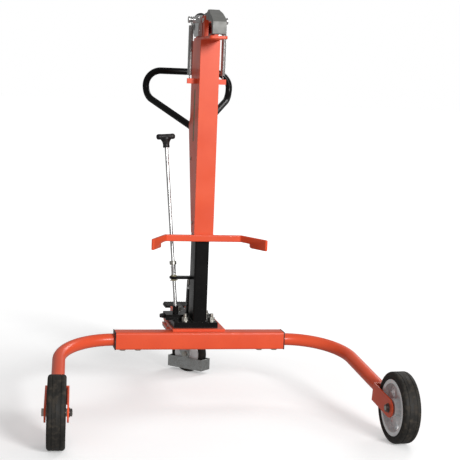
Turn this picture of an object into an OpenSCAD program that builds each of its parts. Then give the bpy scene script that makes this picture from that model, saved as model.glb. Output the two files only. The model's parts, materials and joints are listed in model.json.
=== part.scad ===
// Foot-pumped drum lifter on two splayed front legs and a rear swivel castor.
// Z is up. The origin is on the floor, under the middle of the lifter's length and width.
// The drum side is -Y. Parts are drawn from the middle of the crossbeam and then framed.

/* [Crossbeam and legs] */
// Length of the crossbeam
beam_len = 528; // [480:2:560]
// Depth of the crossbeam, front to back
beam_depth = 57; // [55:1:62]
// Height of the crossbeam
beam_h = 54; // [52:1:58]
// Height of the underside of the crossbeam
beam_z = 155; // [155:1:160]
// Wall of the crossbeam
beam_wall = 4; // [3:0.5:5]
// Outside diameter of the leg tubes
leg_d = 38; // [34:1:40]
// Wall of the leg tubes
leg_wall = 3; // [2:0.5:4]
// Bend radius of the legs, at the middle of the tube
leg_bend_r = 180; // [150:5:180]
// Outward turn of the front wheels, in degrees
toe_out = 4.3; // [0:0.1:6]

/* [Front wheels] */
// Diameter of the front wheels
wheel_d = 200; // [180:5:210]
// Width of the front tyres
wheel_w = 50; // [44:1:52]
// Distance from the middle of the lifter to each front wheel
wheel_x = 474; // [460:1:490]
// Distance from the crossbeam forward to the front axles
wheel_reach = 539; // [500:1:580]
// Outside diameter of the wheel rims
rim_d = 158; // [150:1:160]
// Diameter of the front axle bolts
axle_d = 12; // [12:0.5:14]

/* [Mast] */
// Outside width of the mast channel
mast_w = 60; // [60:1:62]
// Height of the lower end of the mast when it is down
mast_z = 512; // [505:1:520]
// Height of the top of the mast when it is down
mast_top = 1107; // [1100:1:1120]
// Plate thickness of the mast channel
mast_t = 5; // [4:0.5:5]
// Lift of the mast
lift = 250; // [200:5:250]
// Width of the column inside the mast
column_w = 44; // [40:1:44]
// Depth of the column, front to back
column_depth = 88; // [80:1:88]
// Height of the top of the column
column_top = 1020; // [1000:5:1040]

/* [Belly bar and handle] */
// Half the span of the belly bar
belly_half = 170; // [150:1:180]
// Distance that the ends of the belly bar stand forward
belly_reach = 118; // [90:1:130]
// Tube diameter of the push handle
handle_d = 22; // [20:1:25]
// Half the width of the push handle, at the middle of its tube
handle_half = 141; // [120:1:160]
// Height of the top of the push handle
handle_top = 1013; // [1005:1:1030]

/* [Castor] */
// Diameter of the castor wheel
castor_d = 125; // [120:1:125]
// Offset of the castor wheel from its swivel axis
castor_trail = 42; // [38:1:46]
// Distance of the swivel axis behind the crossbeam
castor_y = 380; // [372:1:384]
// Direction in which the castor trails, in degrees from +X
castor_turn = -45; // [-90:1:60]

/* [Hidden] */
$fn = 64;
EPS = 0.5;
wheel_r = wheel_d / 2;
tyre_shoulder = 9;
pedal_end = 512;
tyre_reach = (wheel_r - tyre_shoulder) * cos(toe_out) + (wheel_w / 2 - tyre_shoulder) * sin(toe_out)
    + tyre_shoulder;
frame_y = (wheel_reach + tyre_reach - pedal_end) / 2;
bend_steps = 10;
bar_sides = 24;
leg_z = beam_z + beam_h / 2;
beam_top = beam_z + beam_h;
fork_gap = 56;
prong_t = 5;
prong_w = 54;
crown_t = 8;
crown_near = 112;
leg_corner_x = wheel_x - wheel_reach * tan(toe_out);
leg_run = norm([wheel_x - leg_corner_x, wheel_reach, leg_z - wheel_r]);
leg_slope = asin((leg_z - wheel_r) / leg_run);
leg_insert = 90;
leg_path = [[beam_len / 2 - leg_insert, 0, leg_z], [leg_corner_x, 0, leg_z],
    [leg_corner_x, 0, leg_z] + unit([wheel_x - leg_corner_x, -wheel_reach, wheel_r - leg_z])
        * (leg_run - crown_near - crown_t)];
bearing_d = 32;
bearing_w = 10;
hub_w = 46;
axle_end = fork_gap / 2 + prong_t;
spacer_from = 24.2;
fit = 0.05;
hole_gap = 0.4;

bolt_d = 10;
bolt_head = 6.5;
hex_across = 17;
leg_bolt_x = [-240, -192, 192, 240];
bush_len = 60;
rail_t = 6;
rail_x = 22;
rail_end = 428;
deck_t = 6;
deck_half = 54;
castor_bolts = [for (x = [-41, 41], y = [-36, 36]) [x, castor_y + y]];

mount_t = 8;
base_t = 18;
mount_top = beam_top + mount_t;
base_top = mount_top + base_t;
base_x = [-81, 57];
base_y = [2, 178];
stud_spots = [[-43, 24], [40, 24], [-43, 140], [40, 140]];
stud_d = 12;
nut_across = 19;
washer_t = 2.5;

column_y = 5;
column_back = column_y + column_depth;
column_mid = column_y + column_depth / 2;
column_wall = 4;
stem_half = 16;
stem_z = [500, 850];
stem_back = [100, 187];
grip_y = 388;

mast_front = -10;
mast_in = mast_w / 2 - mast_t;
slide_gap = 0.3;
box_back = 140;
box_z = 868;
roof_t = 6;
slot_y = 67;
slot_z = [806, 946];
slot_w = 24;
rib_y = column_back + 3;
rib_x = 18;
rib_foot = 680;
cylinder_d = 34;
cylinder_bore = 26;
cylinder_top = 690;
ram_d = 22;
gland_h = 22;

nose_t = 9;
nose_top = mast_top + nose_t;
nose_front = -145;
pivot = [100, 1150];
spring_pin_at = [45, 1168];
spring_pin_d = 20;
pivot_d = 16;
stop_at = [-8, 1164.4];
stop_d = 15;
cheek_in = 9.5;
cheek_out = 22;
side_in = 23;
side_out = 35;
spring_x = 52;
ear_z = 974;
ear_h = 16;

rod_foot = [-69, 60, 272];
rod_head = [-106, 120, 777];
rod_d = 11;
rod_len = norm(rod_head - rod_foot);
guide_at = 95;
bush_d = 18;
collar_at = guide_at + 40;
block_x = [-101, -34];
block_y = [43, 110];
block_top = base_top + 17;
valve_at = [block_x[0], 75, base_top + 8.5];
valve_d = 8;

pedal_pivot = [108, 345];
pedal_pin_d = 12;
pedal_half = 10;
pedal_bar_h = 16;
pedal_bottom = 199;
pedal_corner = 214;
pad_y = 450;
pad_t = 6;
plunger_y = 155;
plunger_d = 18;
barrel_d = 40;
barrel_h = 27;
cap_z = 317.2;
cap_t = 5;
swivel_z = 143;
swivel_t = 6;
race_h = 9;
kingpin_d = 12;
crown_z = [129.2, 133.6];
castor_axle_z = castor_d / 2;
castor_axle_d = 10;
castor_gap = 38;
castor_plate_t = 3;
castor_w = 32;
castor_rubber = 14;
guard_z = [12, 50];
guard_t = 2.5;
guard_reach = 70;
axle_boss = 17;

belly_z = 491;
belly_h = 21;
belly_t = 10;
belly_drop = 13;
handle_bend_r = 50;

function unit(v) = v / norm(v);
function bend_angle(p, i) = acos(unit(p[i] - p[i - 1]) * unit(p[i + 1] - p[i]));
function setback(p, i, r) = i == 0 || i == len(p) - 1 ? 0 : r * tan(bend_angle(p, i) / 2);
function overrun(p) = let (n = len(p) - 1) [for (i = [0:n])
    i == 0 ? p[0] - unit(p[1] - p[0]) : i == n ? p[n] + unit(p[n] - p[n - 1]) : p[i]];

// Places children at an origin, with X along one direction and Y turned towards another.
module aligned(origin, along, towards) {
    ex = unit(along);
    ez = unit(cross(ex, towards));
    ey = cross(ez, ex);
    multmatrix([[ex.x, ey.x, ez.x, origin.x], [ex.y, ey.y, ez.y, origin.y],
        [ex.z, ey.z, ez.z, origin.z], [0, 0, 0, 1]]) children();
}

module rod_between(a, b, d) {
    side = abs(unit(b - a).z) > 0.9 ? [1, 0, 0] : [0, 0, 1];
    aligned(a, b - a, side) rotate([0, 90, 0]) cylinder(d = d, h = norm(b - a));
}

// Points along straight runs joined by arcs of one radius.
function bend_points(p, i, r) = let (u = unit(p[i] - p[i - 1]), v = unit(p[i + 1] - p[i]),
    w = unit(v - (v * u) * u), a = bend_angle(p, i), centre = p[i] - u * setback(p, i, r) + w * r)
    [for (k = [0:bend_steps]) centre + r * (sin(a * k / bend_steps) * u - cos(a * k / bend_steps) * w)];
function route(p, r) = [p[0], for (i = [1:len(p) - 2]) each bend_points(p, i, r), p[len(p) - 1]];
function tangents(q) = let (n = len(q) - 1)
    [for (i = [0:n]) unit(q[min(i + 1, n)] - q[max(i - 1, 0)])];
function squared(s, t) = unit(s - (s * t) * t);

// Round bar swept along a bent route, its sides carried on from ring to ring.
module bent_bar(p, r, d) {
    q = route(p, r);
    t = tangents(q);
    n = len(q);
    sides = [for (i = 0, s = squared([0.1, 0.2, 1], t[0]); i < n;
        i = i + 1, s = i < n ? squared(s, t[i]) : s) s];
    points = [for (i = [0:n - 1]) for (k = [0:bar_sides - 1]) let (a = 360 * k / bar_sides)
        q[i] + d / 2 * (cos(a) * sides[i] + sin(a) * cross(t[i], sides[i]))];
    walls = [for (i = [0:n - 2]) for (k = [0:bar_sides - 1]) let (a = i * bar_sides, m = (k + 1) % bar_sides)
        [a + k, a + m, a + bar_sides + m, a + bar_sides + k]];
    first = [for (k = [bar_sides - 1:-1:0]) k];
    last = [for (k = [0:bar_sides - 1]) (n - 1) * bar_sides + k];
    polyhedron(points, [for (f = concat(walls, [first, last])) [for (k = [len(f) - 1:-1:0]) f[k]]]);
}

module bent_tube(p, r, d, wall) {
    difference() {
        bent_bar(p, r, d);
        bent_bar(overrun(p), r, d - 2 * wall);
    }
}

module box(x, y, z) {
    translate([x[0], y[0], z[0]]) cube([x[1] - x[0], y[1] - y[0], z[1] - z[0]]);
}

// Extrudes a side outline, drawn in Y and Z, between two values of X.
module side_slab(x) {
    translate([x[0], 0, 0]) rotate([90, 0, 90]) linear_extrude(x[1] - x[0]) children();
}

// Moves a part from the middle of the crossbeam to the object's own origin.
module framed() {
    translate([0, frame_y, 0]) children();
}

module both_sides() {
    children();
    mirror([1, 0, 0]) children();
}

module hex(across, h) {
    cylinder(d = across / cos(30), h = h, $fn = 6);
}

module at_wheel(side) {
    translate([side * wheel_x, -wheel_reach, wheel_r]) rotate([0, 0, side * toe_out]) children();
}

module cross_cylinder(x, d) {
    translate([x[0], 0, 0]) rotate([0, 90, 0]) cylinder(d = d, h = x[1] - x[0]);
}

module round_square(w, h, r) {
    square([w, h - 2 * r], center = true);
    square([w - 2 * r, h], center = true);
    for (x = [-1, 1], y = [-1, 1]) translate([x * (w / 2 - r), y * (h / 2 - r)]) circle(r);
}

// ---- frame ----

module crossbeam() {
    color("orangered") framed() difference() {
        box([-beam_len / 2, beam_len / 2], [-beam_depth / 2, beam_depth / 2], [beam_z, beam_top]);
        box([-beam_len / 2 - 1, beam_len / 2 + 1],
            [beam_wall - beam_depth / 2, beam_depth / 2 - beam_wall],
            [beam_z + beam_wall, beam_top - beam_wall]);
        for (x = leg_bolt_x) translate([x, 0, beam_z - 1]) cylinder(d = bolt_d + hole_gap, h = beam_wall + 2);
    }
}

module rear_frame() {
    color("orangered") framed() {
        both_sides() box([rail_x, rail_x + rail_t], [beam_depth / 2, rail_end], [beam_z, beam_top]);
        difference() {
            box([-deck_half, deck_half], [castor_y - 50, rail_end + 4], [beam_z - deck_t, beam_z]);
            for (p = castor_bolts) translate([p.x, p.y, beam_z - deck_t - 1])
                cylinder(d = bolt_d + hole_gap, h = deck_t + 2);
        }
    }
}

module mount_plate() {
    corner = 34;
    color("orangered") framed() difference() {
        translate([0, 0, beam_top]) linear_extrude(mount_t)
            polygon([[-87, -14], [78, -14], [78, 188 - corner], [78 - corner, 188], [-87, 188]]);
        for (p = stud_spots) translate([p.x, p.y, beam_top - 1])
            cylinder(d = stud_d + hole_gap, h = mount_t + 2);
    }
}

module right_leg() {
    color("orangered") framed() bent_tube(leg_path, leg_bend_r, leg_d, leg_wall);
}

module left_leg() {
    mirror([1, 0, 0]) right_leg();
}

module leg_bushes() {
    collar = 3;
    color("black") framed() both_sides() difference() {
        union() {
            box([beam_len / 2 - bush_len, beam_len / 2],
                [beam_wall - beam_depth / 2, beam_depth / 2 - beam_wall],
                [beam_z + beam_wall, beam_top - beam_wall]);
            box([beam_len / 2, beam_len / 2 + collar], [-beam_depth / 2, beam_depth / 2], [beam_z, beam_top]);
        }
        translate([beam_len / 2 - bush_len - 1, 0, leg_z]) rotate([0, 90, 0])
            cylinder(d = leg_d, h = bush_len + collar + 2);
        translate([leg_bolt_x[3], 0, beam_z]) cylinder(d = bolt_d + hole_gap, h = beam_h / 2);
    }
}

// Hex bolts that clamp the legs from below and hold the castor plate.
module frame_bolts() {
    nut_h = 8;
    color("silver") framed() {
        for (x = leg_bolt_x) translate([x, 0, beam_z]) {
            translate([0, 0, -bolt_head]) hex(hex_across, bolt_head);
            translate([0, 0, -bolt_head]) cylinder(d = bolt_d, h = bolt_head + beam_h / 2 - leg_d / 2 - 0.2);
        }
        for (p = castor_bolts) translate([p.x, p.y, swivel_z]) {
            translate([0, 0, -bolt_head]) hex(hex_across, bolt_head);
            translate([0, 0, -bolt_head]) cylinder(d = bolt_d, h = bolt_head + swivel_t + deck_t + nut_h + 4);
            translate([0, 0, swivel_t + deck_t]) hex(hex_across, nut_h);
        }
    }
}

module right_fork() {
    color("orangered") framed() at_wheel(1) rotate([leg_slope, 0, 0]) {
        both_sides() difference() {
            union() {
                box([fork_gap / 2, axle_end], [0, crown_near + crown_t], [-prong_w / 2, prong_w / 2]);
                cross_cylinder([fork_gap / 2, axle_end], prong_w);
            }
            cross_cylinder([0, fork_gap], axle_d + hole_gap);
        }
        box([-fork_gap / 2, fork_gap / 2], [crown_near, crown_near + crown_t], [-prong_w / 2, prong_w / 2]);
    }
}

module left_fork() {
    mirror([1, 0, 0]) right_fork();
}

module front_axles() {
    color("silver") framed() both_sides() at_wheel(1) {
        cross_cylinder([-axle_end - washer_t - 7, axle_end], axle_d);
        translate([axle_end, 0, 0]) rotate([0, 90, 0]) hex(nut_across, bolt_head);
    }
}

module axle_nuts() {
    nut_h = 6;
    color("dimgray") framed() both_sides() at_wheel(1) difference() {
        translate([-axle_end, 0, 0]) rotate([0, -90, 0]) {
            cylinder(d = 26, h = washer_t);
            translate([0, 0, washer_t]) hex(nut_across, nut_h);
        }
        cross_cylinder([-axle_end - washer_t - nut_h - 1, 1 - axle_end], axle_d);
    }
}

module wheel_spacers() {
    color("lightgray") framed() both_sides() at_wheel(1) both_sides() difference() {
        cross_cylinder([spacer_from, fork_gap / 2], 22);
        cross_cylinder([spacer_from - 1, fork_gap / 2 + 1], axle_d);
    }
}

// ---- front wheels ----

module spoke_pocket() {
    polygon([[34, -4], [62, -15], [63.5, 0], [62, 15], [34, 4]]);
}

module right_hub() {
    web_t = 10;
    spokes = 8;
    rim_t = 11;
    color("gainsboro") framed() at_wheel(1) rotate([0, 90, 0]) difference() {
        union() {
            difference() {
                cylinder(d = rim_d, h = hub_w, center = true);
                cylinder(d = rim_d - 2 * rim_t, h = hub_w + 1, center = true);
            }
            linear_extrude(web_t, center = true) difference() {
                circle(d = rim_d - 2 * rim_t + 2);
                for (i = [1:spokes]) rotate(i * 360 / spokes) spoke_pocket();
            }
            cylinder(d = 50, h = hub_w, center = true);
        }
        cylinder(d = 20, h = hub_w + 1, center = true);
        for (s = [-1, 1]) translate([0, 0, s * (hub_w / 2 - bearing_w / 2 + EPS)])
            cylinder(d = bearing_d, h = bearing_w + 2 * EPS, center = true);
    }
}

module right_tyre() {
    color("dimgray") framed() at_wheel(1) rotate([0, 90, 0]) rotate_extrude() difference() {
        translate([wheel_r / 2, 0]) round_square(wheel_r, wheel_w, tyre_shoulder);
        translate([-1, -wheel_w]) square([rim_d / 2 + 1, 2 * wheel_w]);
    }
}

module right_bearings() {
    color("silver") framed() at_wheel(1) both_sides() difference() {
        cross_cylinder([hub_w / 2 + EPS - bearing_w, hub_w / 2 + EPS], bearing_d);
        cross_cylinder([0, hub_w], axle_d + 2 * fit);
    }
}

module left_hub() {
    mirror([1, 0, 0]) right_hub();
}

module left_tyre() {
    mirror([1, 0, 0]) right_tyre();
}

module left_bearings() {
    mirror([1, 0, 0]) right_bearings();
}

// ---- hydraulic unit and column ----

module base_plate() {
    color("black") framed() difference() {
        box(base_x, base_y, [mount_top, base_top]);
        for (p = stud_spots) translate([p.x, p.y, mount_top - 1])
            cylinder(d = stud_d + hole_gap, h = base_t + 2);
    }
}

module plate_studs() {
    color("silver") framed() for (p = stud_spots) translate([p.x, p.y, beam_top]) {
        cylinder(d = stud_d, h = mount_t + base_t + 24);
        translate([0, 0, mount_t + base_t]) cylinder(d = 24, h = washer_t);
        translate([0, 0, mount_t + base_t + washer_t]) hex(nut_across, 10);
    }
}

module column() {
    color("black") framed() difference() {
        box([-column_w / 2, column_w / 2], [column_y, column_back], [base_top, column_top]);
        box([column_wall - column_w / 2, column_w / 2 - column_wall],
            [column_y + column_wall, column_back - column_wall], [base_top - 1, column_top + 1]);
    }
}

module lift_cylinder() {
    color("silver") framed() translate([0, column_mid, base_top]) difference() {
        cylinder(d = cylinder_d, h = cylinder_top - base_top);
        translate([0, 0, 6]) cylinder(d = cylinder_bore, h = cylinder_top);
    }
}

module cylinder_gland() {
    color("dimgray") framed() translate([0, column_mid, cylinder_top]) difference() {
        cylinder(d = cylinder_d, h = gland_h);
        translate([0, 0, -1]) cylinder(d = ram_d + 2 * fit, h = gland_h + 2);
    }
}

module lift_ram() {
    foot = base_top + 15;
    color("gainsboro") framed() translate([0, column_mid, foot]) {
        cylinder(d = cylinder_bore - 2 * fit, h = 25);
        cylinder(d = ram_d, h = mast_top - roof_t - foot);
    }
}

module along_rod() {
    aligned(rod_foot, rod_head - rod_foot, [1, 0, 0]) rotate([0, 90, 0]) children();
}

module pump_block() {
    color("black") framed() difference() {
        union() {
            box(block_x, block_y, [base_top, block_top]);
            translate([rod_foot.x, rod_foot.y, block_top]) cylinder(d = 18, h = rod_foot.z + 6 - block_top);
        }
        translate([rod_foot.x, rod_foot.y, rod_foot.z - 10]) cylinder(d = 14, h = 20);
        translate(valve_at) rotate([0, 90, 0]) translate([0, 0, -1]) cylinder(d = valve_d + 2 * fit, h = 21);
    }
}

module valve_knob() {
    color("black") framed() translate(valve_at) rotate([0, -90, 0]) {
        translate([0, 0, 0.3]) cylinder(d1 = 18, d2 = 12, h = 15);
        translate([0, 0, -18]) cylinder(d = valve_d, h = 19);
    }
}

module pump_barrel() {
    color("black") framed() translate([0, plunger_y, base_top]) difference() {
        cylinder(d = barrel_d, h = barrel_h);
        translate([0, 0, 4]) cylinder(d = plunger_d + 2 * fit, h = barrel_h);
    }
}

module pump_plunger() {
    foot = base_top + 12;
    color("silver") framed() translate([0, plunger_y, foot]) {
        cylinder(d = plunger_d, h = cap_z - foot);
        translate([0, 0, cap_z - foot]) cylinder(d = barrel_d, h = cap_t);
    }
}

module plunger_spring() {
    spring_h = cap_z - base_top - barrel_h;
    color("silver") framed() translate([0, plunger_y, base_top + barrel_h]) difference() {
        cylinder(d = barrel_d - 2, h = spring_h);
        translate([0, 0, -1]) cylinder(d = barrel_d - 12, h = spring_h + 2);
    }
}

module rod_guide() {
    hole = rod_foot + unit(rod_head - rod_foot) * guide_at;
    half = 14;
    t = 8;
    color("black") framed() difference() {
        union() {
            box([hole.x, -column_w / 2], [hole.y - half, hole.y + half], [hole.z - t / 2, hole.z + t / 2]);
            translate([hole.x, hole.y, hole.z - t / 2]) cylinder(r = half, h = t);
        }
        along_rod() translate([0, 0, guide_at - 20]) cylinder(d = bush_d, h = 40);
    }
}

module guide_bush() {
    color("tan") framed() along_rod() difference() {
        union() {
            translate([0, 0, guide_at - 8]) cylinder(d = bush_d, h = 16);
            translate([0, 0, guide_at - 10]) cylinder(d = 24, h = 2.5);
        }
        translate([0, 0, guide_at - 15]) cylinder(d = rod_d + 2 * fit, h = 40);
    }
}

module release_rod() {
    color("gainsboro") framed() along_rod() cylinder(d = rod_d, h = rod_len);
}

module release_knob() {
    color("black") framed() along_rod() difference() {
        union() {
            translate([0, 0, rod_len - 6]) cylinder(d = 22, h = 26);
            for (s = [-1, 1]) translate([0, s * 21, rod_len + 20]) cylinder(d = 20, h = 18);
            translate([-10, -21, rod_len + 20]) cube([20, 42, 18]);
        }
        cylinder(d = rod_d, h = rod_len);
    }
}

module rod_collar() {
    color("dimgray") framed() along_rod() translate([0, 0, collar_at]) difference() {
        cylinder(d = 22, h = 12);
        translate([0, 0, -1]) cylinder(d = rod_d, h = 14);
    }
}

module release_spring() {
    color("silver") framed() along_rod() translate([0, 0, guide_at + 8]) difference() {
        cylinder(d = 19, h = collar_at - guide_at - 8);
        translate([0, 0, -1]) cylinder(d = 13, h = 60);
    }
}

// ---- foot pedal ----

module pedal_bracket() {
    color("black") framed() both_sides() difference() {
        union() {
            box([12, 20], [column_back, pedal_pivot[0]], [pedal_pivot[1] - 22, pedal_pivot[1] + 22]);
            translate([0, pedal_pivot[0], pedal_pivot[1]]) cross_cylinder([12, 20], 30);
        }
        translate([0, pedal_pivot[0], pedal_pivot[1]]) cross_cylinder([0, 30], pedal_pin_d + hole_gap);
    }
}

module pedal_pin() {
    color("silver") framed() translate([0, pedal_pivot[0], pedal_pivot[1]]) {
        cross_cylinder([-24, 23], pedal_pin_d);
        both_sides() cross_cylinder([20.2, 23], 18);
    }
}

module pedal_lever() {
    color("black") framed() difference() {
        side_slab([-pedal_half, pedal_half]) {
            translate(pedal_pivot) circle(14);
            translate([plunger_y, 331.5]) circle(9);
            polygon([[108, 331], [130, 326], [180, 326], [190, 318], [pedal_corner, pedal_bottom + 8],
                [pedal_corner + 8, pedal_bottom], [pad_y, pedal_bottom], [pad_y, pedal_bottom + pedal_bar_h],
                [pedal_corner + 16, pedal_bottom + pedal_bar_h], [212, 336], [160, 350], [108, 359]]);
        }
        translate([0, pedal_pivot[0], pedal_pivot[1]]) cross_cylinder([-20, 20], pedal_pin_d + 2 * fit);
    }
    color("black") framed() box([-42, 42], [pad_y, pedal_end], [pedal_bottom, pedal_bottom + pad_t]);
}

module pedal_pad() {
    color("dimgray") framed()
        box([-40, 40], [pad_y + 3, pedal_end - 2], [pedal_bottom + pad_t, pedal_bottom + 2 * pad_t]);
}

// ---- push handle ----

module handle_stem() {
    wall = 5;
    color("black") framed() difference() {
        side_slab([-stem_half, stem_half])
            polygon([[column_back, stem_z[0]], [column_back, stem_z[1]], [stem_back[1], stem_z[1]],
                [stem_back[0], stem_z[0]]]);
        side_slab([wall - stem_half, stem_half - wall])
            polygon([[column_back - 1, stem_z[0] + 30], [column_back - 1, stem_z[1] + 1],
                [stem_back[1] - wall, stem_z[1] + 1], [stem_back[1] - wall, stem_z[1]],
                [stem_back[0] - wall + 7, stem_z[0] + 30]]);
    }
}

module push_handle() {
    root = [10, stem_back[1] - 15, stem_z[1] - 18];
    corner_z = 930;
    path = [root, [handle_half, grip_y, corner_z], [handle_half, grip_y, handle_top],
        [-handle_half, grip_y, handle_top], [-handle_half, grip_y, corner_z], [-root.x, root.y, root.z]];
    color("black") framed() difference() {
        bent_tube(path, handle_bend_r, handle_d, 2.5);
        box([-stem_half, stem_half], [100, 260], [700, 900]);
    }
}

// ---- castor ----

module at_castor() {
    translate([0, castor_y, 0]) rotate([0, 0, castor_turn]) children();
}

module castor_plate() {
    color("silver") framed() {
        difference() {
            box([-deck_half, deck_half], [castor_y - 48, castor_y + 48], [swivel_z, swivel_z + swivel_t]);
            for (p = castor_bolts) translate([p.x, p.y, swivel_z - 1])
                cylinder(d = bolt_d + hole_gap, h = swivel_t + 2);
            translate([0, castor_y, swivel_z - 1]) cylinder(d = kingpin_d + 2, h = swivel_t + 2);
        }
        translate([0, castor_y, swivel_z - race_h]) difference() {
            cylinder(d = 58, h = race_h);
            translate([0, 0, -1]) cylinder(d = kingpin_d + 2, h = race_h + 2);
        }
    }
}

module castor_kingpin() {
    color("silver") framed() translate([0, castor_y, 0]) {
        translate([0, 0, swivel_z - race_h]) cylinder(d = kingpin_d + 2, h = race_h + swivel_t);
        translate([0, 0, crown_z[0] - 1]) cylinder(d = kingpin_d, h = 8);
        translate([0, 0, crown_z[0] - 3]) cylinder(d = 20, h = 2.6);
    }
}

module castor_plane(y) {
    translate([0, y[1], 0]) rotate([90, 0, 0]) linear_extrude(y[1] - y[0]) children();
}

module castor_cross(y, u, z, d) {
    castor_plane(y) translate([u, z]) circle(d = d);
}

module castor_fork() {
    outside = castor_gap / 2 + castor_plate_t;
    front = 30;
    color("silver") framed() at_castor() {
        difference() {
            union() {
                translate([0, 0, crown_z[0]]) cylinder(d = 62, h = crown_z[1] - crown_z[0]);
                box([0, front], [-outside, outside], crown_z);
            }
            translate([0, 0, crown_z[0] - 1]) cylinder(d = kingpin_d + 2 * fit, h = 20);
        }
        for (s = [0, 1]) mirror([0, s, 0]) difference() {
            castor_plane([castor_gap / 2, outside]) {
                polygon([[-22, crown_z[0]], [front, crown_z[0]], [castor_trail + 14, castor_axle_z + 20],
                    [castor_trail + axle_boss, castor_axle_z], [castor_trail - 14, castor_axle_z - 8]]);
                translate([castor_trail, castor_axle_z]) circle(axle_boss);
            }
            castor_cross([0, outside + 1], castor_trail, castor_axle_z, castor_axle_d + hole_gap);
        }
    }
}

// Strip that keeps toes clear of the castor wheel, held by the axle outside the fork.
module wheel_guard() {
    inside = castor_gap / 2 + castor_plate_t;
    outside = inside + guard_t;
    ends = [castor_trail - guard_reach, castor_trail + guard_reach];
    color("silver") framed() at_castor() {
        for (s = [0, 1]) mirror([0, s, 0]) difference() {
            castor_plane([inside, outside]) {
                translate([ends[0], guard_z[0]]) square([ends[1] - ends[0], guard_z[1] - guard_z[0]]);
                translate([castor_trail, castor_axle_z]) circle(axle_boss);
            }
            castor_cross([0, outside + 1], castor_trail, castor_axle_z, castor_axle_d + hole_gap);
        }
        for (u = [ends[0], ends[1] - guard_t]) box([u, u + guard_t], [-inside, inside], guard_z);
    }
}

module castor_axle() {
    outside = castor_gap / 2 + castor_plate_t + guard_t;
    color("silver") framed() at_castor() {
        castor_cross([-outside - 8, outside + 4], castor_trail, castor_axle_z, castor_axle_d);
        for (s = [0, 1]) mirror([0, s, 0])
            castor_cross([outside, outside + 6], castor_trail, castor_axle_z, hex_across);
    }
}

module castor_hub() {
    color("gainsboro") framed() at_castor() difference() {
        union() {
            castor_cross([-castor_w / 2, castor_w / 2], castor_trail, castor_axle_z,
                castor_d - 2 * castor_rubber);
            castor_cross([EPS - castor_gap / 2, castor_gap / 2 - EPS], castor_trail, castor_axle_z, 34);
        }
        castor_cross([-castor_gap, castor_gap], castor_trail, castor_axle_z, castor_axle_d + 2 * fit);
    }
}

module castor_tyre() {
    color("black") framed() at_castor() translate([castor_trail, 0, castor_axle_z]) rotate([90, 0, 0])
        rotate_extrude() difference() {
            translate([castor_d / 4, 0]) round_square(castor_d / 2, castor_w, 6);
            translate([-1, -castor_w]) square([castor_d / 2 - castor_rubber + 1, 2 * castor_w]);
        }
}

// ---- mast ----

module slot_outline(width) {
    translate([slot_y - width / 2, slot_z[0]]) square([width, slot_z[1] - slot_z[0]]);
    for (z = slot_z) translate([slot_y, z]) circle(d = width);
}

module mast_channel() {
    ear_y = [spring_pin_at[0] - 12, spring_pin_at[0] - 6];
    color("orangered") framed() {
        box([-mast_w / 2, mast_w / 2], [mast_front, mast_front + mast_t], [mast_z, mast_top]);
        both_sides() difference() {
            side_slab([mast_in, mast_w / 2]) polygon([[mast_front + mast_t, mast_z], [50, mast_z],
                [160, 845], [box_back, box_z], [box_back, mast_top], [mast_front + mast_t, mast_top]]);
            side_slab([mast_in - 1, mast_w / 2 + 1]) slot_outline(slot_w);
        }
        both_sides() box([rib_x, mast_in], [rib_y, rib_y + 7], [rib_foot, mast_top - roof_t]);
        both_sides() box([mast_w / 2, spring_x + 9], ear_y, [ear_z, ear_z + ear_h]);
        box([-mast_in, mast_in], [box_back - mast_t, box_back], [box_z, mast_top - roof_t]);
        box([-mast_in, mast_in], [mast_front + mast_t, box_back], [mast_top - roof_t, mast_top]);
    }
}

module guide_pads() {
    thick = mast_in - column_w / 2 - slide_gap;
    color("tan") framed() {
        both_sides() {
            side_slab([mast_in - thick, mast_w / 2 - 0.5]) slot_outline(slot_w - 2 * fit);
            box([mast_in - thick, mast_in], [10, 44], [520, 600]);
            box([mast_in - thick, mast_in], [45, 90], [785, 967]);
            box([4, 16], [mast_front + mast_t, column_y - slide_gap], [520, 600]);
            box([rib_x, column_w / 2], [column_back + slide_gap, rib_y], [rib_foot, rib_foot + 80]);
        }
    }
}

module guide_screws() {
    spots = [[28, 545], [99.5, 740]];
    color("silver") framed() both_sides() for (p = spots) translate([mast_w / 2, p[0], p[1]]) rotate([0, 90, 0]) {
        cylinder(d = 11, h = 2);
        translate([0, 0, 2]) cylinder(d1 = 11, d2 = 7, h = 1.5);
    }
}

module belly_bar() {
    front = mast_front - 4;
    bend_x = 116;
    outline = [[0, front], [bend_x, front], [belly_half, -belly_reach - belly_t],
        [belly_half + 8, -belly_reach - 5], [bend_x + 6, front + belly_t], [0, front + belly_t]];
    pad_from = bend_x + 0.42 * (belly_half - bend_x);
    color("orangered") framed() both_sides() {
        translate([0, 0, belly_z]) linear_extrude(belly_h) polygon(outline);
        translate([0, 0, belly_z - belly_drop]) linear_extrude(belly_drop + EPS) intersection() {
            polygon(outline);
            translate([pad_from, -belly_reach - 40]) square([60, belly_reach + 60]);
        }
    }
}

module nose_plate() {
    half = 27;
    corner = 8;
    color("orangered") framed() translate([0, 0, mast_top]) linear_extrude(nose_t) {
        polygon([[-half, 135], [-half, nose_front + corner], [corner - half, nose_front],
            [half - corner, nose_front], [half, nose_front + corner], [half, 135]]);
        for (s = [-1, 1]) translate([s * (half - corner), nose_front + corner]) circle(corner);
    }
}

module cheek_outline() {
    top = 1180;
    back = 125;
    r = 12;
    gap = spring_pin_d / 2 + 1.2;
    difference() {
        union() {
            polygon([[-20, nose_top], [-20, top - r], [r - 20, top], [back - r, top], [back, top - r],
                [back, nose_top]]);
            translate([r - 20, top - r]) circle(r);
            translate([back - r, top - r]) circle(r);
        }
        translate(spring_pin_at) circle(gap);
        polygon([for (p = [[-gap, 0], [-gap, 20], [40, 20], [gap, -2]]) spring_pin_at + p]);
        translate(pivot) circle(d = pivot_d);
        translate(stop_at) circle(d = bolt_d);
    }
}

module head_cheeks() {
    color("orangered") framed() both_sides() side_slab([cheek_in, cheek_out]) cheek_outline();
}

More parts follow.
